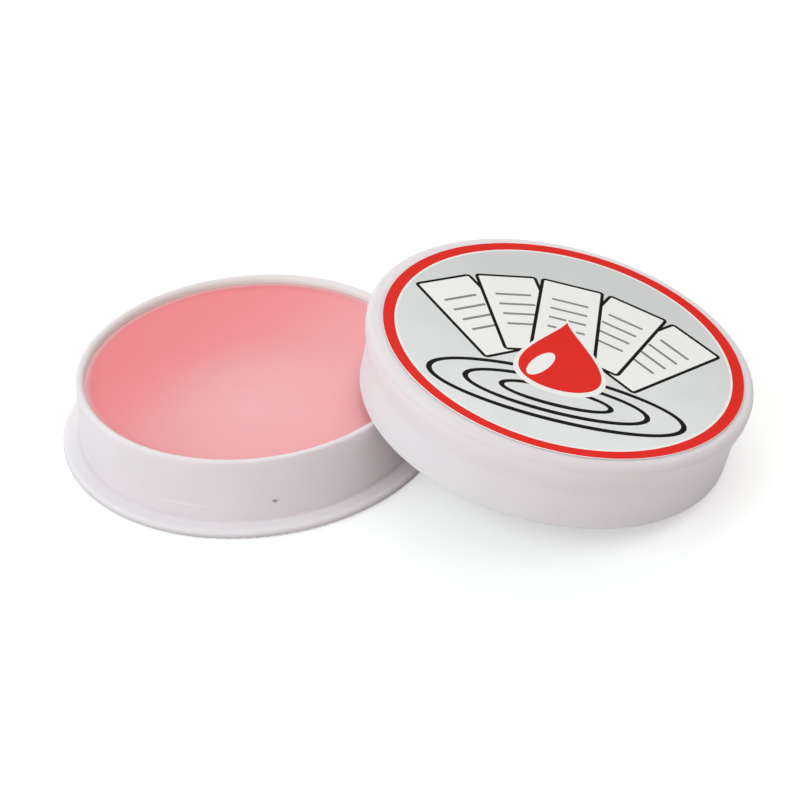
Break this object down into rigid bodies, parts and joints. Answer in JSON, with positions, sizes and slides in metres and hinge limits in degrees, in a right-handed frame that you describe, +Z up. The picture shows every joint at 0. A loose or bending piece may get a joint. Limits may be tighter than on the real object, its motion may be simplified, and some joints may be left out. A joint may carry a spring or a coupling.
{
  "type": "finger moistener",
  "caption": "Round pot of finger-moistening gel: a flanged white tray filled with a pink gel cake, its push-on labelled lid off and leaning on the rim.",
  "frame": {"origin": "on the tray's axis, on the plane of its underside, which is the table that tray and lid stand on", "axes": "+Z up along the tray's axis; +X from the tray's axis towards the leaning lid; the part is symmetric about the XZ plane"},
  "size_m": [0.1216, 0.0688, 0.0272],
  "materials": {
    "white_plastic": "satin",
    "pink_gel": "satin",
    "label_print": "satin"
  },
  "bodies": {
    "tray": {"tray": "white_plastic", "gel": "pink_gel"},
    "lid": {"lid": "white_plastic", "label": "label_print"}
  },
  "joints": [
    {"name": "lid_lift", "type": "slide", "parent": "tray", "child": "lid", "axis": [0, 0, 1], "range_m": [0, 0.03]}
  ]
}
